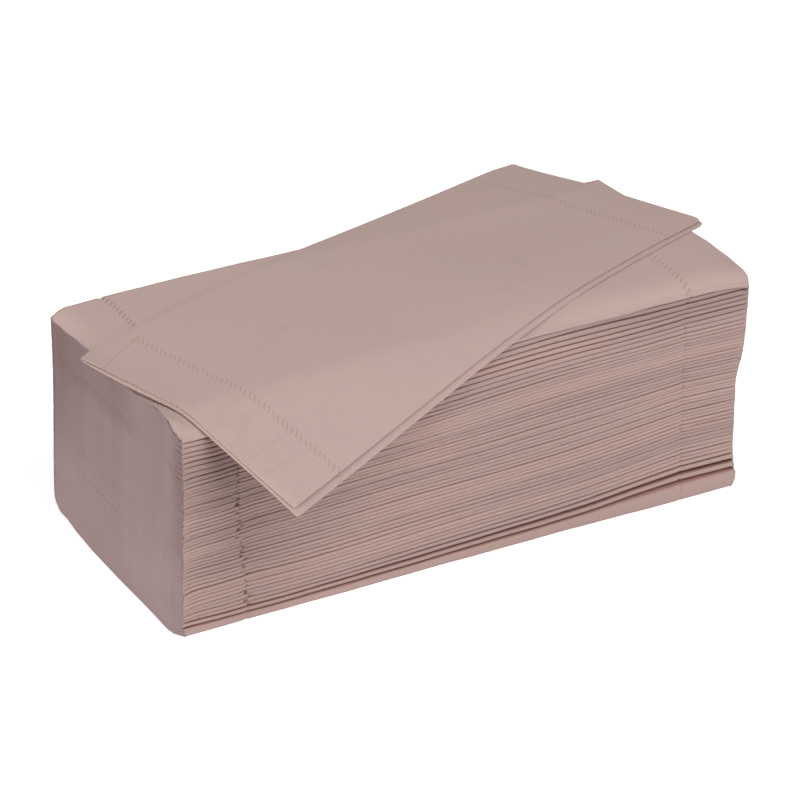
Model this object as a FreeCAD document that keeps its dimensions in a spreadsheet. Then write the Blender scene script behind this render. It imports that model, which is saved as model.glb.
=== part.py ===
import FreeCAD, Part

import math
import os

import Sketcher

# A pack of folded facial tissues, in millimetres.
#
# Frame: the origin is the centre of the stack's bottom face.  X runs along the long side, Y from the
# front long side to the back, Z up.
#
# Every tissue is one sheet folded once across its width, so its section is a U lying on its side: two
# flat flaps joined by a half-round fold.  Odd tissues have the fold at the front, even ones at the back,
# and each fold wraps the upper flap of the tissue below it and the lower flap of the one above it.
# The flaps make up the stack's layers, numbered from 1 at the bottom.

SIZES = [
    # alias, value, meaning
    ("stack_tissues", 99, "tissues in the stack, an odd number, so that the top one folds at the front"),
    ("sheet_length", 210, "length of a sheet, along the fold"),
    ("sheet_width", 180, "unfolded width of a sheet, across the fold"),
    ("sheet_thickness", 0.28, "two plies with their embossing"),
    ("flap_offset", 3.5, "how much longer one flap is: the upper of a front fold, the lower of a back fold"),
    ("tuck_gap", 2.6, "from the long flap's free edge to the far side of the stack"),
    ("bottom_layers", 12, "layers that lie loosely at the bottom"),
    ("top_layers", 30, "layers that lie loosely below the top tissue"),
    ("crown_steps", 2, "steps between layers inside the puffed top tissue"),
    ("bottom_air", 0.32, "air between the loose bottom layers"),
    ("middle_air", 0.05, "air between the pressed layers"),
    ("top_air", 0.22, "air between the loose upper layers"),
    ("crown_air", 1.42, "air on each side of the flap that the top tissue wraps"),
    ("lean", 2.5, "how far the top tissue stands further along X than the bottom one"),
    ("rest_gap", 0.1, "clearance under the loose tissue"),
    ("loose_turn", 21.5, "degrees that the loose tissue is turned from the stack"),
    ("loose_end_overhang", 7, "from the stack's left end out to the corner of the loose tissue's fold"),
    ("loose_fold_setback", 51, "from the front edge back to that corner"),
    ("loose_air", 0.3, "air between the loose tissue's two flaps"),
    ("drape_radius", 9, "inner radius where the loose tissue bends over the front edge"),
    ("drape_angle", 40, "degrees below level of the part that hangs over the front edge"),
]


def size_sheet(doc):
    """The spreadsheet that holds every driving size under its alias."""
    sheet = doc.addObject("Spreadsheet::Sheet", "Sizes")
    for row, (alias, value, meaning) in enumerate(SIZES, start=1):
        sheet.set(f"A{row}", alias)
        sheet.set(f"B{row}", str(value))
        sheet.set(f"C{row}", meaning)
        sheet.setAlias(f"B{row}", alias)
    doc.recompute()
    return sheet


# ---- the layers of the stack -------------------------------------------------------------------------

def low_layer(number):
    """The layer that a tissue's lower flap is."""
    return max(1, 2 * (number - 1))


def up_layer(number, count):
    """The layer that a tissue's upper flap is."""
    return min(2 * number + 1, 2 * count)


def rise(sheet, first, last):
    """Expression for the height from one layer's middle up to another's."""
    layers = 2 * int(sheet.stack_tissues)
    crown_from = layers - int(sheet.crown_steps)
    top_from = crown_from - int(sheet.top_layers)
    steps = {"bottom_air": 0, "middle_air": 0, "top_air": 0, "crown_air": 0}
    for layer in range(first + 1, last + 1):
        if layer <= sheet.bottom_layers:
            steps["bottom_air"] += 1
        elif layer > crown_from:
            steps["crown_air"] += 1
        elif layer > top_from:
            steps["top_air"] += 1
        else:
            steps["middle_air"] += 1
    terms = [f"{n} * (Sizes.sheet_thickness + Sizes.{air})" for air, n in steps.items() if n]
    return "(" + (" + ".join(terms) or "0") + ")"


def fold_radius(sheet, number):
    """Expression for the radius of a tissue's fold, at the middle of the sheet."""
    low = low_layer(number)
    return f"({rise(sheet, low, up_layer(number, int(sheet.stack_tissues)))} / 2)"


def long_flap(radius):
    """Expression for the straight length of the longer flap, beside a fold of this middle radius."""
    return f"((Sizes.sheet_width - pi * {radius} + Sizes.flap_offset) / 2)"


HALF_SHEET = "Sizes.sheet_thickness / 2"
# A fold wraps two flaps, so its two sides are three layers apart.
PRESSED_FOLD = "(3 * (Sizes.sheet_thickness + Sizes.middle_air) / 2)"
STACK_DEPTH = f"({PRESSED_FOLD} + {HALF_SHEET} + {long_flap(PRESSED_FOLD)} + Sizes.tuck_gap)"


# ---- one folded tissue -------------------------------------------------------------------------------

def origin_plane(body, role):
    """One of a body's own origin planes."""
    return next(item for item in body.Origin.OriginFeatures if item.Role == role)


def fold_section(body, name, at_front):
    """Sketch of the U section in the YZ plane, with its sizes still to be bound."""
    sketch = body.newObject("Sketcher::SketchObject", name)
    sketch.AttachmentSupport = [(origin_plane(body, "YZ_Plane"), "")]
    sketch.MapMode = "FlatFace"
    # A first guess of the right form, which the bound sizes then move to its place.
    side = -1 if at_front else 1
    outer, inner, flap, height = 2.0, 1.0, 20.0, 10.0
    centre = FreeCAD.Vector(side * flap, height, 0)
    upward = FreeCAD.Vector(0, 0, 1)
    turn = (math.pi / 2, 3 * math.pi / 2) if at_front else (-math.pi / 2, math.pi / 2)

    def line(y_from, z_from, y_to, z_to):
        start = FreeCAD.Vector(y_from, z_from, 0)
        return sketch.addGeometry(Part.LineSegment(start, FreeCAD.Vector(y_to, z_to, 0)))

    def arc(radius):
        return sketch.addGeometry(Part.ArcOfCircle(Part.Circle(centre, upward, radius), *turn))

    outer_arc = arc(outer)
    inner_arc = arc(inner)
    under = line(centre.x, height - outer, 0, height - outer)
    lower_end = line(0, height - outer, 0, height - inner)
    lower_inside = line(0, height - inner, centre.x, height - inner)
    upper_inside = line(centre.x, height + inner, 0, height + inner)
    upper_end = line(0, height + inner, 0, height + outer)
    over = line(0, height + outer, centre.x, height + outer)

    low_point, high_point = (2, 1) if at_front else (1, 2)
    joints = [
        (outer_arc, low_point, under, 1), (under, 2, lower_end, 1), (lower_end, 2, lower_inside, 1),
        (lower_inside, 2, inner_arc, low_point), (inner_arc, high_point, upper_inside, 1),
        (upper_inside, 2, upper_end, 1), (upper_end, 2, over, 1), (over, 2, outer_arc, high_point),
        (outer_arc, 3, inner_arc, 3),
    ]
    rules = [Sketcher.Constraint("Coincident", *joint) for joint in joints]
    rules += [Sketcher.Constraint("Horizontal", edge) for edge in (under, lower_inside, upper_inside, over)]
    rules += [Sketcher.Constraint("Vertical", edge) for edge in (lower_end, upper_end)]
    rules += [
        Sketcher.Constraint("Vertical", edge, point, outer_arc, 3)
        for edge in (outer_arc, inner_arc)
        for point in (low_point, high_point)
    ]
    sketch.addConstraint(rules)

    def named(label, *terms):
        sketch.renameConstraint(sketch.addConstraint(Sketcher.Constraint(*terms)), label)

    named("outer_radius", "Radius", outer_arc, outer)
    named("inner_radius", "Radius", inner_arc, inner)
    named("height", "DistanceY", -1, 1, outer_arc, 3, height)
    if at_front:
        named("setout", "DistanceX", outer_arc, 3, -1, 1, flap)
        named("lower_flap", "DistanceX", under, 1, under, 2, flap)
        named("upper_flap", "DistanceX", over, 2, over, 1, flap)
    else:
        named("setout", "DistanceX", -1, 1, outer_arc, 3, flap)
        named("lower_flap", "DistanceX", under, 2, under, 1, flap)
        named("upper_flap", "DistanceX", over, 1, over, 2, flap)
    return sketch


def stack_tissue(doc, sheet, number):
    """One tissue of the stack: its U section padded along the sheet's length."""
    at_front = number % 2 == 1
    long_side, short_side = ("upper", "lower") if at_front else ("lower", "upper")
    radius = fold_radius(sheet, number)
    lowest = rise(sheet, 1, low_layer(number))
    others = int(sheet.stack_tissues) - 1

    body = doc.addObject("PartDesign::Body", f"Tissue{number:02d}")
    sketch = fold_section(body, f"Section{number:02d}", at_front)
    bind = sketch.setExpression
    bind("Constraints.outer_radius", f"{radius} + {HALF_SHEET}")
    bind("Constraints.inner_radius", f"{radius} - {HALF_SHEET}")
    bind("Constraints.height", f"{HALF_SHEET} + {lowest} + {radius}")
    bind("Constraints.setout", f"{STACK_DEPTH} / 2 - {radius} - {HALF_SHEET}")
    bind(f"Constraints.{long_side}_flap", long_flap(radius))
    bind(f"Constraints.{short_side}_flap", f"{long_flap(radius)} - Sizes.flap_offset")

    pad = body.newObject("PartDesign::Pad", f"Sheet{number:02d}")
    pad.Profile = sketch
    pad.Midplane = True
    pad.setExpression("Length", "Sizes.sheet_length")
    body.Tip = pad
    body.setExpression(".Placement.Base.x", f"Sizes.lean * {number - 1} / {others}")
    sketch.Visibility = False
    return body


# ---- the loose tissue --------------------------------------------------------------------------------

class Drape:
    """A surface that lies level for y > 0 and bends down over a round edge at y = 0.

    Its own frame has z = 0 at the underside of the lowest flap.  A layer at height z bends with the
    radius drape_radius + z about one common axis, so stacked flaps stay parallel.
    """

    def __init__(self, sheet):
        self.radius = sheet.drape_radius
        self.angle = math.radians(sheet.drape_angle)

    def run(self, flat_y, height):
        """Where a point of the unbent layer comes to lie in y, seen from above."""
        if flat_y >= 0:
            return flat_y
        radius = self.radius + height
        turned = min(-flat_y / radius, self.angle)
        straight = -flat_y - turned * radius
        return -radius * math.sin(turned) - straight * math.cos(self.angle)

    def band(self, height, thickness, reach):
        """A bent band of one thickness, seen from the end and drawn out along X by reach each way."""
        centre = FreeCAD.Vector(0, 0, -self.radius)

        def turned(radius, angle):
            return centre + FreeCAD.Vector(0, -math.sin(angle), math.cos(angle)) * radius

        down = FreeCAD.Vector(0, -math.cos(self.angle), -math.sin(self.angle)) * reach
        back = FreeCAD.Vector(0, reach, 0)
        under = self.radius + height
        over = under + thickness
        edges = [Part.LineSegment(turned(under, 0) + back, turned(under, 0))]
        edges.append(Part.Arc(*[turned(under, self.angle * share) for share in (0, 0.5, 1)]))
        edges.append(Part.LineSegment(turned(under, self.angle), turned(under, self.angle) + down))
        edges.append(Part.LineSegment(turned(under, self.angle) + down, turned(over, self.angle) + down))
        edges.append(Part.LineSegment(turned(over, self.angle) + down, turned(over, self.angle)))
        edges.append(Part.Arc(*[turned(over, self.angle * share) for share in (1, 0.5, 0)]))
        edges.append(Part.LineSegment(turned(over, 0), turned(over, 0) + back))
        edges.append(Part.LineSegment(turned(over, 0) + back, turned(under, 0) + back))
        face = Part.Face(Part.Wire([edge.toShape() for edge in edges]))
        face.translate(FreeCAD.Vector(-reach, 0, 0))
        return face.extrude(FreeCAD.Vector(2 * reach, 0, 0))

    def outline(self, corners, height):
        """The bent outline of a flat four-sided layer, seen from above."""
        lines = [-(self.radius + height) * self.angle * share for share in (0, 0.5, 1)]
        points = []
        for start, end in zip(corners, corners[1:] + corners[:1]):
            shares = [0]
            for y_line in lines:
                if (start.y - y_line) * (end.y - y_line) < 0:
                    shares.append((y_line - start.y) / (end.y - start.y))
            for share in sorted(shares):
                flat = start + (end - start) * share
                points.append(FreeCAD.Vector(flat.x, self.run(flat.y, height), 0))
        return points


def loose_tissue(doc, sheet, top_tissue):
    """The tissue on top: a folded sheet laid askew, with one corner bent over the front edge.

    It is built in a frame whose origin is the stack's left end, at the line where the level top turns
    into the front fold.
    """
    thickness = sheet.sheet_thickness
    fold_middle = (thickness + sheet.loose_air) / 2
    fold_outer = fold_middle + thickness / 2
    short_flap = (sheet.sheet_width - math.pi * fold_middle - sheet.flap_offset) / 2
    flaps = [
        (0, short_flap + sheet.flap_offset),
        (thickness + sheet.loose_air, short_flap),
    ]
    upward = FreeCAD.Vector(0, 0, 1)
    place = FreeCAD.Placement(
        FreeCAD.Vector(-sheet.loose_end_overhang, sheet.loose_fold_setback, 0),
        FreeCAD.Rotation(upward, sheet.loose_turn),
    )
    drape = Drape(sheet)
    reach = sheet.sheet_length + sheet.sheet_width

    # The half-round fold along the far long edge, level all the way.
    ring_centre = FreeCAD.Vector(0, -fold_outer, fold_outer)
    along = FreeCAD.Vector(1, 0, 0)
    outer = Part.makeCylinder(fold_outer, sheet.sheet_length, ring_centre, along)
    inner = Part.makeCylinder(fold_outer - thickness, sheet.sheet_length, ring_centre, along)
    far_half = Part.makeBox(sheet.sheet_length, fold_outer, 2 * fold_outer, FreeCAD.Vector(0, -fold_outer, 0))
    solid = outer.cut(inner).common(far_half)
    solid.Placement = place

    for height, flap in flaps:
        near = -fold_outer - flap
        flat = [(0, -fold_outer), (0, near), (sheet.sheet_length, near), (sheet.sheet_length, -fold_outer)]
        corners = [place.multVec(FreeCAD.Vector(x, y, 0)) for x, y in flat]
        points = drape.outline(corners, height + thickness / 2)
        plan = Part.Face(Part.makePolygon(points + points[:1]))
        plan.translate(-upward * reach)
        column = plan.extrude(upward * 2 * reach)
        solid = solid.fuse(drape.band(height, thickness, reach).common(column))

    piece = doc.addObject("Part::Feature", "LooseTissue")
    piece.Shape = solid.removeSplitter().Solids[0]
    top = top_tissue.Shape.BoundBox
    count = int(sheet.stack_tissues)
    top_fold = sheet.evalExpression(f"{fold_radius(sheet, count)} + {HALF_SHEET}")
    piece.Placement = FreeCAD.Placement(
        FreeCAD.Vector(top.XMin, top.YMin + top_fold, top.ZMax + sheet.rest_gap),
        FreeCAD.Rotation(),
    )
    return piece


# ---- the whole pack ----------------------------------------------------------------------------------

def build():
    """Make the document and return the sub-parts, one for each file."""
    doc = FreeCAD.newDocument("FacialTissues")
    sheet = size_sheet(doc)
    count = int(sheet.stack_tissues)
    tissues = [stack_tissue(doc, sheet, number) for number in range(1, count + 1)]
    doc.recompute()

    nodes = []
    for first in range(0, count - 1, 2):
        pair = doc.addObject("Part::Compound", f"Pair{first // 2 + 1:02d}")
        pair.Label = f"tissue_pair_{first // 2 + 1:02d}"
        pair.Links = tissues[first:first + 2]
        nodes.append(pair)
    top = tissues[-1]
    top.Label = "top_tissue"
    nodes.append(top)
    loose = loose_tissue(doc, sheet, top)
    loose.Label = "loose_tissue"
    nodes.append(loose)
    doc.recompute()
    return doc, nodes


def check(doc, nodes):
    """Stop if any object failed or any sub-part's shape is missing or wrong."""
    for item in doc.Objects:
        if "Invalid" in item.State or "Error" in item.State:
            raise RuntimeError(f"{item.Label} failed: {item.State}")
    for node in nodes:
        if node.Shape.isNull() or not node.Shape.isValid():
            raise RuntimeError(f"{node.Label} has no valid shape")


doc, nodes = build()
check(doc, nodes)
os.makedirs("parts", exist_ok=True)
for node in nodes:
    node.Shape.exportStep(os.path.join("parts", node.Label + ".step"))
print(len(nodes), "sub-parts written")
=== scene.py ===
import math

import bpy
import numpy as np
from mathutils import Matrix, Vector

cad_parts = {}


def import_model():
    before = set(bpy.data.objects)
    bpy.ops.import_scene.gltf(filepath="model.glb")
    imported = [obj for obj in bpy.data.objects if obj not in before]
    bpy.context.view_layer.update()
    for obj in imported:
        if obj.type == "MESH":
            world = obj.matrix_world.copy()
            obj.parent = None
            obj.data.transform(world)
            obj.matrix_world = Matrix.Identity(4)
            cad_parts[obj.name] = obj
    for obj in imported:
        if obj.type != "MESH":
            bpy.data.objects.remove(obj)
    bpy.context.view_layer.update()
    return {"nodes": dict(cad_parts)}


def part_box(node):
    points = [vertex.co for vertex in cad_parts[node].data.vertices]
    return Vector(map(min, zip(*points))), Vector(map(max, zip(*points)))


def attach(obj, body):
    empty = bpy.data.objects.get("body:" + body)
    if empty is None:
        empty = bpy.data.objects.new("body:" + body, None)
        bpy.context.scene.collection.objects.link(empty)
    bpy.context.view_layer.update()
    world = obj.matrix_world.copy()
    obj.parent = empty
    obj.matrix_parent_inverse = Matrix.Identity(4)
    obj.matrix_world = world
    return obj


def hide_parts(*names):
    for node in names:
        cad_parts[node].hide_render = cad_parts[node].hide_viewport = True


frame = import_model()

# A pack of folded facial tissues with one more tissue lying askew on top.
#
# Shapes are worked out in millimetres, in the frame of the CAD model: the origin is the middle of the
# stack's bottom face, X runs along the long side, Y from the front long side to the back, Z up.
MM = 0.001

# ---- sizes -------------------------------------------------------------------------------------------

SHEET_LENGTH = 210
SHEET_WIDTH = 180
CAD_SHEET = 0.28            # thickness of a sheet in the CAD model
STACK_SHEET = 0.23          # thickness of a sheet drawn in the stack, which leaves room for its waves
FLUFFED = 0.9               # the most at the cut ends, which the knife has fluffed up
END_SWELL = 0.8             # over which a sheet swells towards a cut end
FLAP_OFFSET = 3.5           # how much longer one flap of a tissue is
SHEET_REACH = 92.7          # a long flap drawn inside the stack: crepe stretches to fill the folds
SHORT_REACH = 92.1          # a short one
CLOSED_STEP = 0.36          # from layer to layer at the top of a pack without air
FRONT = -46.8               # the plane of the front folds
BACK = 46.8
FRONT_DEPTH = 22            # how far in from the front the front folds set the layers' heights
GROOVE_DEPTH = 25           # how far in from the front or the back an open groove parts the layers
ROLL_WIDTH = 14.0           # over which the top's roll over the front edge reaches its slope
LOOSE_SHEET = 0.30          # thickness of the loose tissue's sheet
LOOSE_TURN = 20.05          # degrees that it is turned from the stack
LOOSE_CORNER = (-113.1, 8.7)  # its far left corner, at the fold
LOOSE_FLAP = 94.0           # its upper flap, from the fold to the free edge
LOOSE_LOWER = 96.1          # its lower flap
LOOSE_SEAT = 0.42           # from the surface below it to the middle of its lower flap
DASH_MARGIN = 21.2          # from a sheet's short edge to its line of dashes
DASH_SPAN = SHEET_LENGTH - 2 * DASH_MARGIN
SEED = 5

PAIRS = sum(name.startswith("tissue_pair_") for name in frame["nodes"])
TISSUES = 2 * PAIRS + 1
LAYERS = 2 * TISSUES


# ---- small helpers -----------------------------------------------------------------------------------

def ease(t):
    """0 up to t = 0, 1 from t = 1, and the smooth step 3t^2 - 2t^3 between."""
    t = np.clip(t, 0, 1)
    return t * t * (3 - 2 * t)


def curve(points, at):
    """A smooth line through a few (place, value) points: cubic pieces whose slope at a point is the
    chord between its neighbours, and level beyond both ends."""
    places, values = np.array(points, float).T
    slopes = np.gradient(values, places)
    at = np.clip(at, places[0], places[-1])
    piece = np.clip(np.searchsorted(places, at, side="right") - 1, 0, len(places) - 2)
    width = places[piece + 1] - places[piece]
    t = (at - places[piece]) / width
    start, end = values[piece], values[piece + 1]
    first, last = slopes[piece] * width, slopes[piece + 1] * width
    return (start * (1 + 2 * t) * (1 - t) ** 2 + end * t * t * (3 - 2 * t)
            + first * t * (1 - t) ** 2 - last * t * t * (1 - t))


def waves(rng, at, lengths, heights):
    """A sum of sines of the given wave lengths and heights, each with a seeded phase."""
    total = np.zeros_like(at, dtype=float)
    for length, height in zip(lengths, heights):
        total += height * np.sin(2 * np.pi * at / length + rng.uniform(0, 2 * np.pi))
    return total


def unit(vectors):
    return vectors / np.maximum(np.linalg.norm(vectors, axis=-1, keepdims=True), 1e-12)


# ---- where the layers lie ----------------------------------------------------------------------------

def piled_heights():
    """Height of the middle of each layer in the CAD model, with layer 1 at the bottom and slot 0 unused.
    Pair k starts with layer 4k - 4, the first with layer 1, and ends with layer 4k + 1."""
    known = {}
    for pair in range(1, PAIRS + 1):
        low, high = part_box(f"tissue_pair_{pair:02d}")
        known[max(1, 4 * pair - 4)] = low[2] / MM + CAD_SHEET / 2
        known[4 * pair + 1] = high[2] / MM - CAD_SHEET / 2
    low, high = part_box("top_tissue")
    known[LAYERS - 2] = low[2] / MM + CAD_SHEET / 2
    known[LAYERS] = high[2] / MM - CAD_SHEET / 2
    numbers = sorted(known)
    return np.interp(np.arange(LAYERS + 1), numbers, [known[number] for number in numbers])


PILED = piled_heights()
TOP_GROOVE = (PILED[LAYERS - 3] + PILED[LAYERS - 2]) / 2
# The same heights without the air round the top tissue's fold.
CLOSED = np.minimum(PILED, PILED[LAYERS - 3] + CLOSED_STEP * (np.arange(LAYERS + 1) - LAYERS + 3))

# Height of the groove under the top tissue, along the front.
GROOVE_LINE = [(-104, 68.7), (-92, 68.2), (-60, 69.8), (-5, 72.4), (38, 74.1), (72, 73.8), (108, 73.8)]
# Height of the top tissue's upper flap along the front and along the back.
TOP_FRONT = [(-104, 72.9), (-60, 74.2), (-20, 75.8), (20, 77.8), (60, 78.9), (90, 79.0), (108, 78.6)]
TOP_BACK = [(-104, 73.6), (-80, 74.5), (-20, 74.8), (30, 74.6), (70, 74.7), (92, 74.7), (108, 74.0)]
# Height of the groove above the bottom tissue, which puffs out towards the right.
BOTTOM_GROOVE = [(-104, 2.8), (-80, 2.4), (0, 3.1), (40, 3.9), (78, 6.0), (104, 5.9)]
# X of the ridges that the folds make beside the lines of dashes.
LEFT_RIDGE, RIGHT_RIDGE = -78.0, 81.0


def corner_sag(x, y):
    """How far the top sags at the back left corner and, less, at the front right one."""
    back_left = 3.0 * ease((-97.5 - x) / 6.5) * ease((y - 12) / 30)
    front_right = 1.0 * ease((x - 99) / 7) * ease((-y - 10) / 30)
    return back_left + front_right


def level_height(x, y):
    """Height of the pack's top where nothing presses it down: a smooth line along the front eased into
    one along the back, with long shallow waves."""
    across = ease((y - FRONT - 22) / 68)
    wave = 0.15 * np.sin(x / 13 + y / 19) + 0.1 * np.sin(x / 7.3 - y / 11 + 1.3)
    inside = ease((y - FRONT - 4) / 14) * ease((BACK - y) / 10)
    height = curve(TOP_FRONT, x) * (1 - across) + curve(TOP_BACK, x) * across + wave * inside
    return height - corner_sag(x, y)


def roll_start(x):
    """Y of the line where the top starts to roll over the front edge."""
    return FRONT + 10.0 + ROLL_WIDTH / 2 + 0.6 * ease((x + 94) / 105)


def roll_slope(x):
    """Slope, in radians, that the roll soon reaches: steeper at the left."""
    return np.radians(22.0 - 6.5 * ease((x + 94) / 105))


def left_rise(x, y):
    """How far the pack's left front corner stands up beside the loose tissue, which does not press it:
    it eases in with the distance from that tissue's left edge and from the front fold."""
    turn = math.radians(LOOSE_TURN)
    outside = (LOOSE_CORNER[0] - x) * math.cos(turn) + (LOOSE_CORNER[1] - y) * math.sin(turn)
    return 3.5 * ease((outside + 1) / 10) * ease((y - FRONT - 1) / 4)


def top_height(x, y):
    """Height of the top tissue's upper flap: the level height, less the roll over the front edge and a
    crown that falls away exponentially from the fold. The roll reaches only as far right as the loose
    tissue hangs over it; past its width, it has sunk by its slope times the run less half the width."""
    run = np.clip(roll_start(x) - y, 0, None)
    share = np.clip(run / ROLL_WIDTH, 0, 1)
    eased = ROLL_WIDTH * (share ** 3 - share ** 4 / 2) + np.clip(run - ROLL_WIDTH, 0, None)
    pressed = 1 - ease((x - 22) / 42)
    crown = 4.9 * np.exp(-np.clip(y - FRONT, 0, None) / 3.0) * (1 - 0.9 * pressed)
    pressed = pressed * (0.84 + 0.16 * ease((x + 104) / 8))
    return level_height(x, y) - np.tan(roll_slope(x)) * eased * pressed - crown + left_rise(x, y)


def groove_gaps(rng):
    """Extra height of each layer, gathered from the bottom: some grooves between folds stand open, most
    are shut, and the folds differ a little in thickness. The front folds part above layers 4m + 3, the
    back ones above layers 4m + 1. Three patterns a side: for the left, the middle and the right."""
    gathered = {}
    for side, first in (("front", 3), ("back", 1)):
        ends = []
        for loose_grooves in ((0.3, 0.3, 0), (0.6, 0.8, 0.2), (0.3, 1.1, 0.6)):
            gap = np.zeros(LAYERS + 1)
            under = np.arange(first, LAYERS - 1, 4)
            gap[under + 1] = 0.26 * rng.random(len(under)) ** 2.6
            if side == "front":
                gap[under[:3] + 1] += loose_grooves
            climb = np.cumsum(gap)
            fade = np.clip(np.arange(LAYERS + 1) - 12, 0, None) / (LAYERS - 12)
            sway = np.interp(np.arange(LAYERS + 1), under + 0.5, rng.uniform(-0.13, 0.13, len(under)))
            ends.append(climb - climb[-1] * fade + sway * (np.arange(LAYERS + 1) > 11))
        gathered[side] = ends
    return gathered


GAPS = groove_gaps(np.random.default_rng(SEED))


def gap_shift(layer, x, y):
    """How far the open grooves move a layer: three seeded patterns, for the left, middle and right,
    eased into each other along X. The front's fade out inwards, and so do the back's."""
    right = ease((x + 20) / 110)
    left = ease((-x - 10) / 80)
    near_front = ease((FRONT + GROOVE_DEPTH - y) / GROOVE_DEPTH)
    near_back = ease((y - BACK + GROOVE_DEPTH) / GROOVE_DEPTH)
    shift = 0
    for side, near in (("front", near_front), ("back", near_back)):
        one, two, three = (ends[layer] for ends in GAPS[side])
        shift = shift + near * (one * left + two * (1 - left) * (1 - right) + three * right)
    return shift


def layer_height(layer, x, y):
    """Height of the middle of a layer. At the front it is the height in the CAD model, scaled so that
    the groove under the top tissue follows its line, and stands open at the left; further in, it is
    scaled to the pack's level top. Then come the puff of the bottom tissue, a ridge over each line of
    dashes, the left end's slips and hook, swells, pairs of layers near the top, the open grooves and
    the left front corner's rise. No layer comes through the top tissue."""
    piled = PILED[layer]
    share = piled / TOP_GROOVE
    parted = 0.45 * ease((-84 - x) / 8) * (layer < LAYERS - 2)
    front = piled * (curve(GROOVE_LINE, x) - parted) / TOP_GROOVE
    inner = CLOSED[layer] * level_height(x, y) / CLOSED[LAYERS]
    across = ease((y - FRONT) / FRONT_DEPTH)
    height = front * (1 - across) + inner * across

    near_front = 1 - 0.8 * ease((y - FRONT) / 60)
    near_front = near_front * (1 - ease((-99 - x) / 4) * ease((y - FRONT) / 3))
    puff = (curve(BOTTOM_GROOVE, x) - (PILED[3] + PILED[4]) / 2) * near_front
    room = np.clip((TOP_GROOVE - piled) / (TOP_GROOVE - 6), 0, 1)
    height = height + puff * (min(layer, 3) - 1) / 2 * room
    shut = (0.24 - 0.12 * ease((x - 10) / 85)) * (1 - across)
    height = height - shut * np.clip(layer - 3, 0, 9) * np.clip((60 - layer) / 48, 0, 1)

    body = ease(share / 0.2) * ease((1 - share) / 0.14)
    before, after = LEFT_RIDGE - x, x - LEFT_RIDGE
    ridge_left = 0.9 * np.exp(-np.where(after > 0, after / 20, before / 6)) * ease((0.8 - share) / 0.3)
    before, after = RIGHT_RIDGE - x, x - RIGHT_RIDGE
    ridge_right = 1.1 * np.exp(-np.where(after > 0, after / 26, before / 15))
    ridge_right = ridge_right * (1 - 0.4 * ease((share - 0.5) / 0.3))
    slips = 0.5 * np.exp(-(x + 103) / 8) * np.sin(2 * np.pi * piled / 21 + 1.1)
    hook = -1.0 * np.exp(-np.clip(x + 101, 0, None) / 2.4)
    swell = 0.22 * np.sin(x / 17 + piled / 9) + 0.15 * np.sin(x / 29 - piled / 6 + 2)
    height = height + body * (ridge_left + ridge_right + slips + hook + swell) * (1 - 0.85 * across)

    inside = ease((y - FRONT - 3) / 8) * ease((BACK - y - 3) / 8)
    paired = 0.06 * (1 if layer % 2 == 0 else -1) * ease((share - 0.72) / 0.12)
    height = height + paired * inside + gap_shift(layer, x, y) + left_rise(x, y) * min(share, 1)
    return np.minimum(height, top_height(x, y) - 0.3 * (LAYERS - layer))


# ---- where the ends lie ------------------------------------------------------------------------------

# X of the right end at a height.
RIGHT_END = [(0, 101.6), (0.5, 102.3), (1.4, 102.8), (9, 102.7), (12, 102.3), (24, 102.2), (34, 102.2),
             (40, 102.3), (42, 102.7), (44.6, 103.3), (48, 104.2), (53, 104.9), (64, 105.5), (73, 105.8),
             (80, 105.4)]


def left_end(y, z):
    """X of the stack's left end: it leans in a little with height, its corners are rounded in plan, and
    its bottom edge is worn back, most at the back corner."""
    front_corner = 2.6 * np.clip(1 - (y - FRONT) / 5.5, 0, 1) ** 2
    back_corner = 0.3 * ease((y - 22) / 25) + 0.8 * np.clip(1 - (BACK - y) / 2.5, 0, 1) ** 2
    foot = 0.9 * np.clip(1 - z / 6, 0, 1) ** 2 * ease((y - 12) / 28)
    heel = 0.8 * np.clip(1 - z / 9, 0, 1) ** 2 * ease((y - BACK + 14) / 11)
    return -104.8 + 1.6 * ease(z / 60) + front_corner + back_corner + foot + heel


def right_end(y, z):
    """X of the stack's right end: the upper part has slid out over the lower, the front corner is
    rounded in plan, and the end runs in towards the back."""
    front_corner = 1.6 * np.clip(1 - (y - FRONT) / 3, 0, 1) ** 2
    return curve(RIGHT_END, z) + 0.5 - front_corner - 1.9 * (y - FRONT) / (BACK - FRONT)


def dash_lines(z):
    """X of the left and right lines of dashes."""
    return -80.1 - 2.5 * ease(z / 48) - 1.7 * ease((z - 58) / 14), 80.9 + 1.4 * ease((z - 66) / 12)


# ---- sheets ------------------------------------------------------------------------------------------

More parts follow.
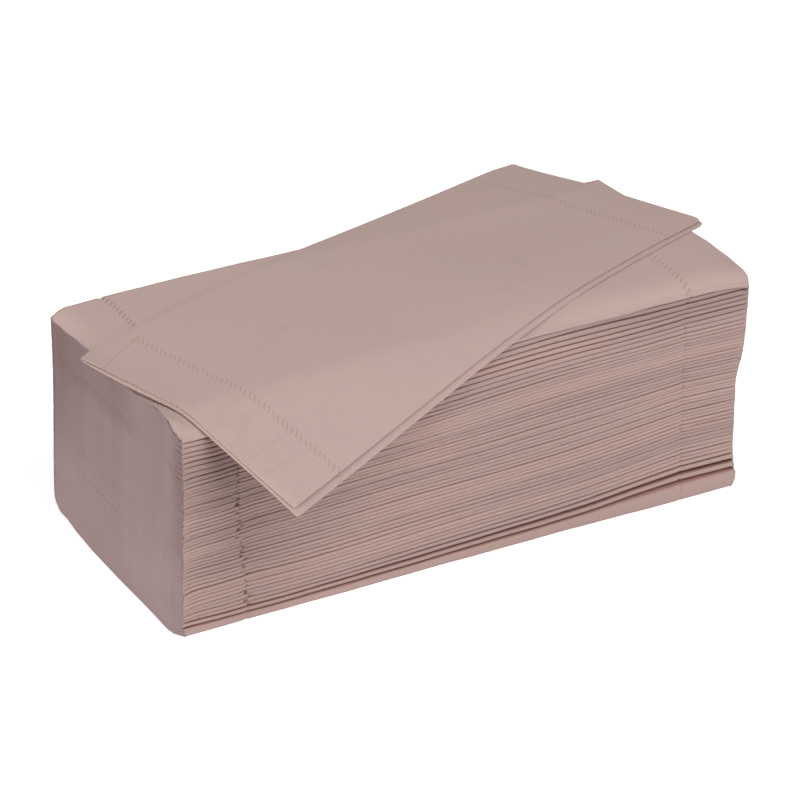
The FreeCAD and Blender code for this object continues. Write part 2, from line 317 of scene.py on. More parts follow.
def sheet_mesh(name, middle, thickness, uv):
    """A closed thin sheet round a grid of middle points. Each point goes half the thickness, which may
    differ from point to point, along the grid's normal, the cross product of its two directions, to the
    front skin, and as far against it to the back skin; four rims close the edges. The uv grid, in
    metres, is on both skins."""
    thickness = np.broadcast_to(thickness, middle.shape[:2])[..., None]
    along = np.gradient(middle, axis=1)
    across = np.gradient(middle, axis=0)
    normal = unit(np.cross(along, across))
    rows, columns = middle.shape[:2]
    skins = [middle + normal * thickness / 2, middle - normal * thickness / 2]
    points = np.concatenate([skin.reshape(-1, 3) for skin in skins]) * MM

    index = np.arange(rows * columns).reshape(rows, columns)
    under = index + rows * columns
    corner, right, up, far = index[:-1, :-1], index[:-1, 1:], index[1:, :-1], index[1:, 1:]
    faces = [np.stack([corner, right, far, up], -1).reshape(-1, 4)]
    faces.append(np.stack([corner, up, far, right], -1).reshape(-1, 4) + rows * columns)
    rim = np.concatenate([index[0], index[1:, -1], index[-1, -2::-1], index[-2:0:-1, 0]])
    after = np.roll(rim, -1)
    faces.append(np.stack([rim, rim + rows * columns, after + rows * columns, after], -1))
    faces = np.concatenate(faces)

    mesh = bpy.data.meshes.new(name)
    mesh.vertices.add(len(points))
    mesh.vertices.foreach_set("co", points.astype(np.float32).ravel())
    mesh.loops.add(faces.size)
    mesh.loops.foreach_set("vertex_index", faces.astype(np.int32).ravel())
    mesh.polygons.add(len(faces))
    mesh.polygons.foreach_set("loop_start", np.arange(0, faces.size, 4, dtype=np.int32))
    mesh.polygons.foreach_set("use_smooth", np.ones(len(faces), bool))
    mesh.update(calc_edges=True)
    mesh.validate()
    flat = np.tile(uv.reshape(-1, 2) * MM, (2, 1))
    mesh.uv_layers.new(name="sheet").data.foreach_set("uv", flat[faces.ravel()].astype(np.float32).ravel())
    mesh.set_sharp_from_angle(angle=math.radians(50))
    piece = bpy.data.objects.new(name, mesh)
    bpy.context.scene.collection.objects.link(piece)
    return piece


def own(piece, material, node):
    """Gives a sheet its paper and its body, and hides the CAD node that it stands for."""
    piece.data.materials.append(material)
    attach(piece, "root")
    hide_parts(node)


def column_places():
    """Places along a sheet, in millimetres: close together at the ends and at the lines of dashes."""
    margin = DASH_MARGIN
    near_dash = np.array([-2.4, -1.3, -0.6, 0, 0.6, 1.3, 2.4])
    ends = np.array([0, 0.5, 1.4, 3, 5.6, 9.2, 13.6])
    middle = np.linspace(margin + 5, SHEET_LENGTH - margin - 5, 35)
    places = [ends, margin + near_dash, middle]
    places += [SHEET_LENGTH - margin + near_dash, SHEET_LENGTH - ends[::-1]]
    return np.concatenate(places)


COLUMNS = column_places()
# 1 at the cut ends of a sheet, falling away exponentially from them.
NEAR_END = np.exp(-np.minimum(COLUMNS, SHEET_LENGTH - COLUMNS) / END_SWELL)
# Y of the rows that every flap has, so that neighbouring flaps bend alike.
STATIONS = np.array([-43.6, -40, -35.5, -30, -24, -4, 16, 30, 39, 43.6])[:, None]


def place_along(y, z):
    """X of each column, for a grid of y and z: the dashes keep to their lines, and the sheet is spread
    evenly from them out to its ends."""
    dash_left, dash_right = dash_lines(z)
    left, right = left_end(y, z), right_end(y, z)
    outer_left = left + (dash_left - left) * COLUMNS / DASH_MARGIN
    inner = dash_left + (dash_right - dash_left) * (COLUMNS - DASH_MARGIN) / DASH_SPAN
    beyond = (COLUMNS - DASH_MARGIN - DASH_SPAN) / DASH_MARGIN
    outer_right = dash_right + (right - dash_right) * beyond
    return np.where(COLUMNS < DASH_MARGIN, outer_left, np.where(beyond > 0, outer_right, inner))


def lengths_along(middle):
    """How far each row of a grid lies along its section: the mean distances from row to row, added up."""
    steps = np.linalg.norm(np.diff(middle, axis=0), axis=-1).mean(1)
    return np.concatenate([[0], np.cumsum(steps)])[:, None]


# ---- the tissues of the stack ------------------------------------------------------------------------

def fold_inset(rng, number, x, lines):
    """How far a fold stands in from the face: a seeded distance with small waves, and a nick, a narrow
    bell, beside each line of dashes. The bottom fold stands out instead, more towards the right."""
    slack = 0.5 + 1.0 * ease((x - 20) / 60) if number == 1 else 0
    inset = rng.uniform(0, 0.4) + waves(rng, x, (61, 23, 11), (0.1, 0.06, 0.03)) - slack
    for line, deepest, stray in zip(lines, (0.9, 0.45), (0.6, 0.35)):
        off = x - line - rng.normal(0, stray)
        inset = inset + rng.uniform(0.1, deepest) * np.exp(-(off / 0.5) ** 2)
    return inset


def fold_arc(rng, number):
    """A fold's section, as shares of its half height and of its depth: the sine and the cosine of the
    turn, raised to a power. The smaller the power, the squarer the fold. Each half has a seeded one; the
    folds near the top and the lowest ones are rounder, and at the cut ends all of them are square."""
    turns = np.radians(np.linspace(-90, 90, 11))[1:-1, None]
    power = 0.22 + 0.42 * rng.random(2) ** 1.5
    if number > TISSUES - 12:
        power = power + np.array([0.2, 0 if number == TISSUES else 0.12])
    if number in (1, 3, 5):
        power = np.array([0.35 if number == 1 else 0.8, 0.7])
    power = np.where(turns < 0, power[0], power[1])
    power = power + (0.12 - power) * NEAR_END
    return np.sign(turns) * np.abs(np.sin(turns)) ** power, np.cos(turns) ** power


def flap_length(layer, reach, round_fold):
    """A flap's length from where its fold starts: its reach less its half of the fold. At the cut ends
    it reaches the far side, so that no pocket shows there."""
    fill = SHEET_REACH - reach + (1.3 if layer == 2 else 0.45)
    return reach - round_fold + fill * NEAR_END


def flap_rows(layer, side, start, long, line):
    """Y, z and thickness of a flap's rows, from the fold inwards: it leaves the fold at the height of
    the line and eases exponentially into its layer's height. At the cut ends the sheet swells until it
    touches both its neighbours, which moves its middle a little; the uppermost layers swell by turns
    less, so that they show as fine lines."""
    if layer == LAYERS:
        y = start - side * long * np.linspace(0, 1, 45)[:, None] ** 1.3
        x = place_along(y, PILED[layer])
        z = top_height(x, y)
        above = z + STACK_SHEET
    else:
        stations = STATIONS if side < 0 else STATIONS[::-1]
        least = np.arange(1, len(stations) + 1)[:, None] / 10
        inner = start - side * np.maximum(side * (start - stations), least)
        y = np.concatenate([start[None], inner, (start - side * long)[None]])
        x = place_along(y, PILED[layer])
        z = layer_height(layer, x, y)
        at_start = layer_height(layer, place_along(start, PILED[layer]), start)
        z = z + (line - at_start) * np.exp(-np.abs(y - start) / 1.5)
        above = layer_height(layer + 1, x, y)
    below = layer_height(layer - 1, x, y) if layer > 1 else -layer_height(layer, x, y)
    apart = 0.48 * ease((layer - 150) / 20) * (layer % 2 == 0)
    swollen = np.clip((above - below) / 2 * (1 - apart), 0.2, FLUFFED)
    z = z + ((above + below) / 4 - z / 2) * NEAR_END
    return y, z, STACK_SHEET + (swollen - STACK_SHEET) * NEAR_END


def tone_drift_and_shade(rng, number, x):
    """How much a fold's tint is darkened along X: slow waves that drift from fold to fold and a seeded share,
    the folds' own tone; and painted shade, more near the top at the right and a little more in the upper half
    at the left."""
    drift = 0.3 + 0.25 * np.sin(number / 3.1 + x / 60) + 0.2 * np.sin(number / 7.3 - x / 45 + 1)
    drift_and_shade = 0.6 * (drift + rng.uniform(-0.3, 0.3))
    # Painted shade near the top at the right and, a little, in the upper half at the left.
    drift_and_shade = drift_and_shade + 0.8 * ease((number - 82) / 8) * ease((x - 20) / 60)
    drift_and_shade = drift_and_shade + 0.25 * ease((-40 - x) / 40) * ease((number - 45) / 25)
    return np.clip(drift_and_shade, 0, 1)


def stack_tissue(number, material):
    """One tissue of the stack: its section runs from the lower flap's free edge to the fold, round half
    a squared ellipse, and along the upper flap, and is carried along X. Each flap is one layer."""
    rng = np.random.default_rng([SEED, number])
    top = number == TISSUES
    side, face = (-1, FRONT) if number % 2 else (1, BACK)
    low, up = max(1, 2 * (number - 1)), min(2 * number + 1, LAYERS)
    low_reach, up_reach = (SHORT_REACH, SHEET_REACH) if side < 0 else (SHEET_REACH, SHORT_REACH)
    if top:
        up_reach = (SHEET_WIDTH + FLAP_OFFSET) / 2

    x = place_along(face, PILED[low])
    face_line = face - side * (fold_inset(rng, number, x, dash_lines(PILED[low])) + 0.12)
    depth = np.full_like(x, 0.55)
    low_line, up_line = layer_height(low, x, face_line), layer_height(up, x, face_line)
    if top:
        least = 0.5 + 0.35 * left_rise(x, FRONT + 9)
        up_line = np.maximum(top_height(x, face_line - side * depth), low_line + least)
    half = (up_line - low_line) / 2
    if not top:
        depth = np.clip(half * (0.35 if number == 1 else 1.0), 0.3, 1.2)
    start = face_line - side * depth

    rise, bulge = fold_arc(rng, number)
    arc_y = start + side * (depth * bulge - 0.2 * NEAR_END)
    arc_z = (low_line + up_line) / 2 + (half + 0.06 * NEAR_END) * rise
    arc_thick = np.broadcast_to(STACK_SHEET + 0.45 * NEAR_END, arc_y.shape)
    round_fold = np.pi / 2 * (half + depth) / 2
    low_rows = flap_rows(low, side, start, flap_length(low, low_reach, round_fold), low_line)
    up_rows = flap_rows(up, side, start, flap_length(up, up_reach, round_fold), up_line)
    y, z, thickness = (
        np.concatenate([below[::-1], arc, above])
        for below, arc, above in zip(low_rows, (arc_y, arc_z, arc_thick), up_rows)
    )
    end_wave = waves(rng, y, (31, 9), (0.01, 0.01)) + rng.normal(0, 0.012)
    streak = 0.12 * np.sin(y / 1.9) + 0.1 * np.sin(y / 4.7 + 1)
    x = place_along(y, z) + end_wave + streak * ease((y - FRONT - 4) / 6)
    middle = np.stack([x, y, z], -1)

    uv = np.stack(np.broadcast_arrays(COLUMNS, lengths_along(middle)), -1)
    # Painted shade and bounce light in the fold: none on its face, all of it from 1.3 mm in.
    painted_fold_shade = np.clip(np.abs(y - face_line) / 1.3, 0, 1)
    # The folds' drifting tone, with painted shade near the top.
    drift_and_shade = tone_drift_and_shade(rng, number, x)
    if top:
        half_fold = len(low_rows[0]) + len(arc_y) // 2
        # The top tissue's upper flap gets no painted fold shade.
        painted_fold_shade[half_fold:] = 0
        drift_and_shade = np.zeros_like(x)
    # Every tissue's rows run so that its front skin is the one inside the fold.
    grids = middle, thickness, uv, painted_fold_shade, drift_and_shade
    if side < 0:
        grids = (grid[::-1] for grid in grids)
    middle, thickness, uv, painted_fold_shade, drift_and_shade = grids
    piece = sheet_mesh(f"tissue_{number:02d}", middle, thickness, uv)
    for name, values in (("painted_fold_shade", painted_fold_shade), ("drift_and_shade", drift_and_shade)):
        shade = piece.data.attributes.new(name, "FLOAT", "POINT")
        shade.data.foreach_set("value", np.tile(values.ravel(), 2).astype(np.float32))
    node = "top_tissue" if top else f"tissue_pair_{(number + 1) // 2:02d}"
    own(piece, material, node)


# ---- the loose tissue --------------------------------------------------------------------------------

# How far each corner of the soft sheet has given, along and across it.
SOFT_CORNERS = {"far left": (2.7, 0.5), "near left": (-0.8, 4.1), "near right": (-3.1, -2.1),
                "far right": (4.2, -0.1)}
# How far the lower flap shows past the left edge, from the fold to its free edge.
LOOSE_ASKEW = [(0, 0), (15, 1.3), (32, 1.8), (58, 0.9), (84, 0.9), (96, 1.3)]


def bent(run, slope):
    """How far a strip reaches level and down after a run on which its slope follows the given function:
    the integrals of cosine and sine of the slope, by the middle rule."""
    count = 24
    run = np.clip(run, 0, None)
    slopes = slope(run[..., None] * (np.arange(count) + 0.5) / count)
    return np.cos(slopes).mean(-1) * run, np.sin(slopes).mean(-1) * run


def loose_base(a, b):
    """The surface that the loose tissue lies along, for a along the fold and b from the fold to the free
    edge: turned from the stack, level on the top tissue, bent down over the front edge and, less, over
    the back one, and lifted a little at its far left corner. Its corners have given a little, shared out
    bilinearly."""
    turn = math.radians(LOOSE_TURN)
    p, q = a / SHEET_LENGTH, b / LOOSE_FLAP
    weights = {"far left": (1 - p) * (1 - q), "near left": (1 - p) * q,
               "near right": p * q, "far right": p * (1 - q)}
    along = a + sum(weights[corner] * give[0] for corner, give in SOFT_CORNERS.items())
    across = b + sum(weights[corner] * give[1] for corner, give in SOFT_CORNERS.items())
    x = LOOSE_CORNER[0] + along * math.cos(turn) + across * math.sin(turn)
    y = LOOSE_CORNER[1] + along * math.sin(turn) - across * math.cos(turn)
    front_bend, back_bend = roll_start(x), FRONT + 82
    right = ease((x + 94) / 105)[..., None]
    first = roll_slope(x)[..., None]

    def front_slope(run):
        return first * ease(run / ROLL_WIDTH) + 0.11 * right * ease((run - ROLL_WIDTH) / 25)

    def back_slope(run):
        return math.radians(9) * ease(run / 8)

    reach, drop = bent(front_bend - y, front_slope)
    far_reach, far_drop = bent(y - back_bend, back_slope)
    lain_y = np.where(y < front_bend, front_bend - reach, np.where(y > back_bend, back_bend + far_reach, y))
    z = level_height(x, np.clip(lain_y, FRONT + 5, BACK - 4)) - drop - far_drop
    z = z + 1.8 * np.exp(-along / 18) * ease(1 - b / 75)
    return np.stack([x, lain_y, z], -1)


def loose_tissue(material):
    """The loose tissue: its lower flap, fold and upper flap carried along the fold. Both flaps follow
    loose_base at their own distances from it, measured along its normal. Its uv runs from the left edge
    and from the fold, but for the right line of dashes, which stands 1.5 mm nearer its edge."""
    border = np.array([0, 0.7, 1.5, 2.4, 3.4])
    a = np.concatenate([border, np.linspace(4.6, SHEET_LENGTH - 4.6, 102), SHEET_LENGTH - border[::-1]])
    edge = 1 - border[::-1] / LOOSE_FLAP
    upper = np.concatenate([np.linspace(0, 0.95, 66), edge]) * LOOSE_FLAP
    lower = np.concatenate([edge[::-1], np.linspace(0.95, 0, 44)]) * LOOSE_LOWER

    def frame_at(b, askew=0):
        """Places, normals and directions across on the surface. The far corners are soft at the fold,
        the corners at the free edge are rounded, and the lower flap lies askew under the upper one, so
        that it shows past its left edge."""
        grid_a, grid_b = np.meshgrid(a, b)
        share = grid_a / SHEET_LENGTH
        to_end = np.minimum(grid_a, SHEET_LENGTH - grid_a)
        soft = np.clip(1 - to_end / np.where(share > 0.5, 13, 9), 0, 1) ** 2
        rounded = grid_b + 2.3 * soft * np.exp(-grid_b / 6)
        radius = np.where(share > 0.5, 4.5, 0.9)
        pull = np.clip(1 - np.hypot(to_end, b.max() - grid_b) / radius, 0, 1) ** 1.5 * radius / 4.5
        rounded = rounded - pull + askew * 0.5 * (1 - share) * grid_b / LOOSE_LOWER
        slid = grid_a + pull * np.sign(SHEET_LENGTH / 2 - grid_a) + 2.4 * share ** 2 * np.exp(-grid_b / 14)
        slid = slid - askew * (curve(LOOSE_ASKEW, grid_b) * (1 - share) + 0.7 * share * grid_b / LOOSE_LOWER)
        base = loose_base(slid, rounded)
        d_along = loose_base(slid + 0.5, rounded) - loose_base(slid - 0.5, rounded)
        d_across = loose_base(slid, rounded + 0.5) - loose_base(slid, rounded - 0.5)
        return base, unit(np.cross(d_across, d_along)), unit(d_across)

    def opening(b):
        """The air between the flaps: hardly any in the middle, more at three of the corners. At the near
        left one the upper flap's very edge curls back down."""
        grid_a, grid_b = np.meshgrid(a, b)
        free = grid_b / LOOSE_FLAP
        far_left = 0.28 * np.exp(-grid_a / 30 - grid_b / 25)
        near_left = 0.5 * (np.exp(-grid_a / 45) - 0.9 * np.exp(-grid_a / 1.6)) * ease((free - 0.6) / 0.4)
        near_right = 0.14 * np.exp(-(SHEET_LENGTH - grid_a) / 28) * ease((free - 0.3) / 0.7)
        return 0.1 + far_left + near_left + near_right + 0.06 * ease((free - 0.8) / 0.2)

    base, normal, _ = frame_at(lower, askew=1)
    under = base + normal * LOOSE_SEAT
    base, normal, _ = frame_at(upper)
    over = base + normal * (LOOSE_SEAT + LOOSE_SHEET + opening(upper))[..., None]
    at_fold = np.array([0.0])
    base, normal, across = frame_at(at_fold)
    half = (LOOSE_SHEET + opening(at_fold))[..., None] / 2
    turns = np.radians(np.linspace(-90, 90, 11))[1:-1, None, None]
    arc = base + normal * (LOOSE_SEAT + half + half * np.sin(turns)) - across * half * np.cos(turns)
    middle = np.concatenate([under, arc, over])

    v = lengths_along(middle)
    v = v - v[len(under) + len(arc) // 2]
    right_line = np.exp(-((a - SHEET_LENGTH + DASH_MARGIN) / 10) ** 2)
    uv = np.stack(np.broadcast_arrays(a - 1.5 * right_line, v), -1)
    piece = sheet_mesh("loose_tissue_sheet", middle[:, ::-1], LOOSE_SHEET, uv[:, ::-1])
    own(piece, material, "loose_tissue")


# ---- materials ---------------------------------------------------------------------------------------

# The folds' tints are redder than the level paper's: painted warm light bounced between the pink folds.
FOLDS_WARM_PAINTED_BOUNCE, FOLDS_GREY_PAINTED_BOUNCE = (0.568, 0.388, 0.350, 1), (0.513, 0.378, 0.349, 1)
LEVEL_WARM, LEVEL_GREY = (0.55, 0.395, 0.36, 1), (0.49, 0.385, 0.36, 1)
# The cut ends' grey is painted shade between the sheets' edges; the loose sheet's pale edge is painted glow
# through thin paper.
CUT_END_PAINTED_SHADE, CUT_EDGE_PAINTED_GLOW = (0.322, 0.233, 0.227, 1), (0.62, 0.46, 0.38, 1)
# Each paper's warmer and greyer tint, the tint of its dashes, and the painted light or shade of its cut ends.
FOLD_TINTS_PAINTED_BOUNCE = FOLDS_WARM_PAINTED_BOUNCE, FOLDS_GREY_PAINTED_BOUNCE, (0.36, 0.24, 0.21, 1), CUT_END_PAINTED_SHADE
TOP_TINTS = LEVEL_WARM, LEVEL_GREY, (0.36, 0.22, 0.17, 1), CUT_END_PAINTED_SHADE
LOOSE_TINTS = LEVEL_WARM, LEVEL_GREY, (0.38, 0.26, 0.23, 1), CUT_EDGE_PAINTED_GLOW
# Painted shade: redder and darker deep between the folds, standing in for shade and bounce light there.
PAINTED_FOLD_SHADE_TINT = (0.72, 0.48, 0.40, 1)    # multiplies the tint deep between the folds
# Darkens the drifting folds: their own tone, and painted shade near the top.
DRIFT_AND_SHADE_TINT = (0.76, 0.76, 0.77, 1)    # multiplies it on the dull folds


def group(name, sockets_in, sockets_out):
    """A new shader node group with its inputs and outputs, given as name: (socket type, value)."""
    tree = bpy.data.node_groups.new(name, "ShaderNodeTree")
    for label, (kind, value) in sockets_in.items():
        socket = tree.interface.new_socket(label, in_out="INPUT", socket_type=f"NodeSocket{kind}")
        if value is not None:
            socket.default_value = value
    for label, kind in sockets_out.items():
        tree.interface.new_socket(label, in_out="OUTPUT", socket_type=f"NodeSocket{kind}")
    return tree, tree.nodes.new("NodeGroupInput"), tree.nodes.new("NodeGroupOutput")


def feed(tree, socket, value):
    """Links a socket to another, or sets its plain value."""
    if isinstance(value, bpy.types.NodeSocket):
        tree.links.new(value, socket)
    else:
        socket.default_value = value


def math_node(tree, operation, first, second=0.0, third=0.0):
    node = tree.nodes.new("ShaderNodeMath")
    node.operation = operation
    for socket, value in zip(node.inputs, (first, second, third)):
        feed(tree, socket, value)
    return node.outputs[0]


def soft_step(tree, value, start, end):
    """0 at start, 1 at end, smooth between."""
    node = tree.nodes.new("ShaderNodeMapRange")
    node.interpolation_type = "SMOOTHSTEP"
    for label, given in (("Value", value), ("From Min", start), ("From Max", end)):
        feed(tree, node.inputs[label], given)
    return node.outputs["Result"]


def noise(tree, vector, scale, detail=2.0, roughness=0.5):
    node = tree.nodes.new("ShaderNodeTexNoise")
    node.inputs["Scale"].default_value = scale
    node.inputs["Detail"].default_value = detail
    node.inputs["Roughness"].default_value = roughness
    tree.links.new(vector, node.inputs["Vector"])
    return node.outputs["Fac"]


def stretched(tree, vector, scale):
    node = tree.nodes.new("ShaderNodeMapping")
    node.inputs["Scale"].default_value = scale
    tree.links.new(vector, node.inputs["Vector"])
    return node.outputs["Vector"]


def mixed(tree, share, first, second, blend="MIX"):
    node = tree.nodes.new("ShaderNodeMix")
    node.data_type = "RGBA"
    node.blend_type = blend
    feed(tree, node.inputs[0], share)
    feed(tree, node.inputs[6], first)
    feed(tree, node.inputs[7], second)
    return node.outputs[2]


def split(tree, vector):
    """The X, Y and Z of a vector."""
    node = tree.nodes.new("ShaderNodeSeparateXYZ")
    tree.links.new(vector, node.inputs[0])
    return node.outputs


def in_mm(tree, length):
    return math_node(tree, "MULTIPLY", length, 1 / MM)


def dash_group():
    """Hemstitch: short slanted strokes in two lines across the sheet. A stroke shows where the place
    along the line, sheared by the slant, is in the middle share of each pitch, and the place across
    the line is within the stroke's half length. The lines stop short of the fold by the gap."""
    soft_side, soft_end, soft_gap = 0.09, 0.35, 0.5
    tree, inside, outside = group(
        "hemstitch_dashes",
        {"Sheet": ("Vector", None), "Slant": ("Float", 0.7), "Pitch": ("Float", 2.05),
         "Half Length": ("Float", 1.0), "Share": ("Float", 0.14), "Right Fade": ("Float", 0.0),
         "Fold Gap": ("Float", -1.0)},
        {"Mask": "Float"},
    )
    along, across, _ = split(tree, inside.outputs["Sheet"])
    u, v = in_mm(tree, along), in_mm(tree, across)
    from_middle = math_node(tree, "ABSOLUTE", math_node(tree, "SUBTRACT", u, SHEET_LENGTH / 2))
    away = math_node(tree, "ABSOLUTE", math_node(tree, "SUBTRACT", from_middle, DASH_SPAN / 2))
    sheared = math_node(tree, "MULTIPLY_ADD", u, inside.outputs["Slant"], v)
    turn = math_node(tree, "FRACT", math_node(tree, "DIVIDE", sheared, inside.outputs["Pitch"]))
    off = math_node(tree, "ABSOLUTE", math_node(tree, "SUBTRACT", turn, 0.5))
    share = inside.outputs["Share"]
    outer, inner = math_node(tree, "ADD", share, soft_side), math_node(tree, "SUBTRACT", share, soft_side)
    stroke = soft_step(tree, off, outer, inner)
    half = inside.outputs["Half Length"]
    outer, inner = math_node(tree, "ADD", half, soft_end), math_node(tree, "SUBTRACT", half, soft_end)
    band = soft_step(tree, away, outer, inner)
    on_right = math_node(tree, "GREATER_THAN", u, SHEET_LENGTH / 2)
    faded = math_node(tree, "MULTIPLY", on_right, inside.outputs["Right Fade"])
    band = math_node(tree, "MULTIPLY", band, math_node(tree, "SUBTRACT", 1.0, faded))
    gap = inside.outputs["Fold Gap"]
    inner, outer = math_node(tree, "SUBTRACT", gap, soft_gap), math_node(tree, "ADD", gap, soft_gap)
    clear = soft_step(tree, math_node(tree, "ABSOLUTE", v), inner, outer)
    band = math_node(tree, "MULTIPLY", band, clear)
    tree.links.new(math_node(tree, "MULTIPLY", stroke, band), outside.inputs["Mask"])
    return tree


def tone_group():
    """Paper tone: cloudy patches some centimetres across, finer mottling and fibre specks, and bands
    that follow the layers, between a warmer and a greyer tint."""
    tree, inside, outside = group(
        "paper_tone",
        {"Place": ("Vector", None), "Warm": ("Color", (0.5, 0.37, 0.34, 1)),
         "Grey": ("Color", (0.46, 0.36, 0.33, 1)), "Bands": ("Float", 0.5)},
        {"Color": "Color"},
    )
    place = inside.outputs["Place"]
    clouds = noise(tree, place, 28, 3)
    mottle = noise(tree, place, 260, 3, 0.6)
    bands = noise(tree, stretched(tree, place, (6, 6, 520)), 1.0, 2)
    clouds = math_node(tree, "MULTIPLY", clouds, 0.6)
    share = math_node(tree, "MULTIPLY_ADD", bands, inside.outputs["Bands"], clouds)
    share = math_node(tree, "MULTIPLY_ADD", mottle, 0.7, math_node(tree, "SUBTRACT", share, 0.45))
    tint = mixed(tree, share, inside.outputs["Warm"], inside.outputs["Grey"])
    fibre = noise(tree, place, 1500, 2, 0.7)
    speck = math_node(tree, "MULTIPLY_ADD", fibre, 0.16, 0.92)
    tree.links.new(mixed(tree, 1.0, tint, speck, "MULTIPLY"), outside.inputs["Color"])
    return tree


def tooth_group():
    """Height of the embossed paper: a fine linen of crossed sines along and across the sheet, broken up
    by noise."""
    tree, inside, outside = group(
        "paper_tooth",
        {"Sheet": ("Vector", None), "Place": ("Vector", None), "Pitch": ("Float", 0.85)},
        {"Height": "Float"},
    )
    u, v, _ = split(tree, inside.outputs["Sheet"])
    turns = math_node(tree, "DIVIDE", 2 * math.pi / MM, inside.outputs["Pitch"])
    along = math_node(tree, "SINE", math_node(tree, "MULTIPLY", u, turns))
    across = math_node(tree, "SINE", math_node(tree, "MULTIPLY", v, turns))
    linen = math_node(tree, "MULTIPLY", along, across)
    rough = noise(tree, inside.outputs["Place"], 900, 3, 0.65)
    tree.links.new(math_node(tree, "MULTIPLY_ADD", linen, 0.18, rough), outside.inputs["Height"])
    return tree


def placed_group(tree, shared, **values):
    node = tree.nodes.new("ShaderNodeGroup")
    node.node_tree = shared
    for label, value in values.items():
        feed(tree, node.inputs[label.replace("_", " ")], value)
    return node


def end_group():
    """Cut ends: a mask that is 1 on the rims at the two short edges, and a tint of painted shade between the
    sheets' edges, grey by default, streaked upright, which the knife leaves across all the sheets alike; it
    is lighter low down."""
    tree, inside, outside = group(
        "cut_ends",
        {"Sheet": ("Vector", None), "Place": ("Vector", None), "Tint": ("Color", (0.4, 0.33, 0.32, 1))},
        {"Mask": "Float", "Color": "Color"},
    )
    half = SHEET_LENGTH / 2
    u = in_mm(tree, split(tree, inside.outputs["Sheet"])[0])
    from_middle = math_node(tree, "ABSOLUTE", math_node(tree, "SUBTRACT", u, half))
    tree.links.new(soft_step(tree, from_middle, half - 0.35, half - 0.02), outside.inputs["Mask"])
    streaks = noise(tree, stretched(tree, inside.outputs["Place"], (1, 330, 14)), 1.0, 3, 0.6)
    patches = noise(tree, inside.outputs["Place"], 45, 2)
    depth = math_node(tree, "MULTIPLY_ADD", streaks, 0.16, 0.84)
    depth = math_node(tree, "MULTIPLY_ADD", patches, 0.12, depth)
    height = split(tree, inside.outputs["Place"])[2]
    low = soft_step(tree, height, 50 * MM, 5 * MM)
    depth = math_node(tree, "MULTIPLY_ADD", low, 0.14, depth)
    tree.links.new(mixed(tree, 1.0, inside.outputs["Tint"], depth, "MULTIPLY"), outside.inputs["Color"])
    return tree


def slit_shade_group():
    """The painted shadow of a short slit across the loose sheet's far left corner, where one edge lies over
    the other:
    1 within a hair of the line that starts 11.3 mm from the fold at the short edge and meets the dashes 4.9
    mm from it."""
    tree, inside, outside = group("corner_slit_shade", {"Sheet": ("Vector", None)}, {"Mask": "Float"})
    at_edge, at_dashes, dashes = 11.3, 4.9, 23.1
    along, across, _ = split(tree, inside.outputs["Sheet"])
    u, v = in_mm(tree, along), in_mm(tree, across)
    slope = (at_edge - at_dashes) / dashes
    off = math_node(tree, "MULTIPLY_ADD", u, slope, math_node(tree, "SUBTRACT", v, at_edge))
    near = soft_step(tree, math_node(tree, "ABSOLUTE", off), 0.4, 0.1)
    reach = soft_step(tree, u, dashes + 0.4, dashes - 0.6)
    tree.links.new(math_node(tree, "MULTIPLY", near, reach), outside.inputs["Mask"])
    return tree


def crease_shade_group():
    """Painted shade of faint creases along the sheet: thin lines where a noise, drawn out along it, passes
    its middle value, kept only in patches some centimetres across."""
    tree, inside, outside = group("faint_crease_shade", {"Sheet": ("Vector", None)}, {"Mask": "Float"})
    sheet = inside.outputs["Sheet"]
    wander = noise(tree, stretched(tree, sheet, (7, 44, 1)), 1.0, 1)
    off = math_node(tree, "ABSOLUTE", math_node(tree, "SUBTRACT", wander, 0.5))
    line = soft_step(tree, off, 0.022, 0.0)
    patch = soft_step(tree, noise(tree, stretched(tree, sheet, (15, 22, 1)), 1.0, 1), 0.48, 0.58)
    tree.links.new(math_node(tree, "MULTIPLY", line, patch), outside.inputs["Mask"])
    return tree


